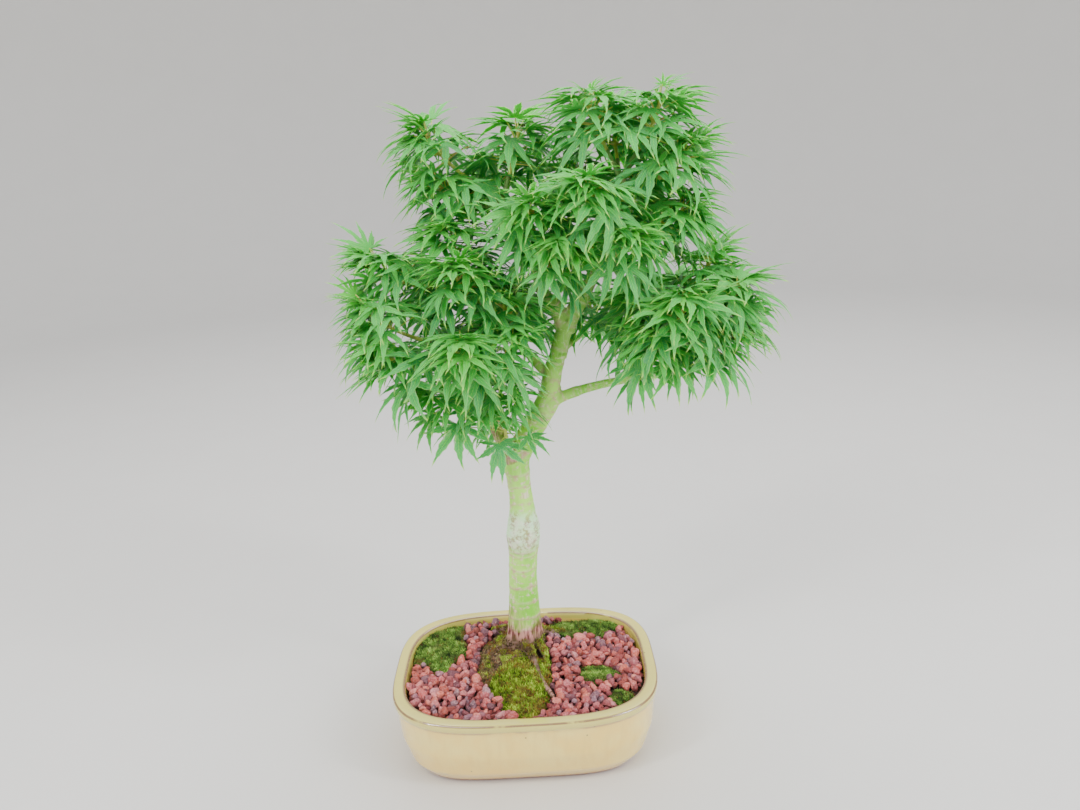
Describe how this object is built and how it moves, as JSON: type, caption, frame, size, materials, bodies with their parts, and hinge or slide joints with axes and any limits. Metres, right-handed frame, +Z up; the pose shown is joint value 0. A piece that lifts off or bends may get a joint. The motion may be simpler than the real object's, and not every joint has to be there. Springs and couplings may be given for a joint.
{
  "type": "japanese maple bonsai",
  "caption": "Dwarf Japanese maple bonsai with dense tufts of seven-lobed leaves, in a low glazed rounded-rectangular pot with gravel and moss.",
  "frame": {"origin": "middle of the pot's flat underside", "axes": "+Z up, +X along the pot's length to the right, -Y the front of the tree"},
  "size_m": [0.473, 0.3163, 0.7251],
  "materials": {
    "glaze": "glossy cream-olive glaze",
    "screen_plastic": "matte dark green plastic mesh",
    "soil": "moist granular soil",
    "gravel": "rough crushed lava rock",
    "moss": "soft moss",
    "litter": "dark leaf litter and crumbs",
    "bark": "smooth green bark with pale scars",
    "leaf": "thin satin leaves"
  },
  "bodies": {
    "root": {"pot": "glaze", "screen_left": "screen_plastic", "screen_right": "screen_plastic", "soil": "soil", "gravel": "gravel", "moss_left": "moss", "moss_middle": "moss", "moss_back": "moss", "moss_right": "moss", "moss_front": "moss", "litter": "litter", "tree": "bark", "leaves_crown_left_front": "leaf", "leaves_crown_left_top": "leaf", "leaves_crown_left_far": "leaf", "leaves_crown_left_low": "leaf", "leaves_crown_left_back": "leaf", "leaves_crown_front": "leaf", "leaves_crown_middle": "leaf", "leaves_crown_front_left": "leaf", "leaves_crown_top": "leaf", "leaves_crown_top_right": "leaf", "leaves_crown_top_back": "leaf", "leaves_crown_right": "leaf", "leaves_crown_right_low": "leaf", "leaves_crown_back": "leaf", "leaves_crown_back_right": "leaf", "leaves_left_tip": "leaf", "leaves_left_high": "leaf", "leaves_left_middle": "leaf", "leaves_left_far": "leaf", "leaves_left_front": "leaf", "leaves_left_low_far": "leaf", "leaves_left_bottom": "leaf", "leaves_left_inner": "leaf", "leaves_left_inner_low": "leaf", "leaves_left_under": "leaf", "leaves_left_back": "leaf", "leaves_left_back_low": "leaf", "leaves_left_back_inner": "leaf", "leaves_trunk_tuft": "leaf", "leaves_right_top": "leaf", "leaves_right_inner": "leaf", "leaves_right_front": "leaf", "leaves_right_far": "leaf", "leaves_right_low_far": "leaf", "leaves_right_low": "leaf", "leaves_right_back": "leaf", "leaves_middle_back": "leaf"}
  },
  "joints": []
}
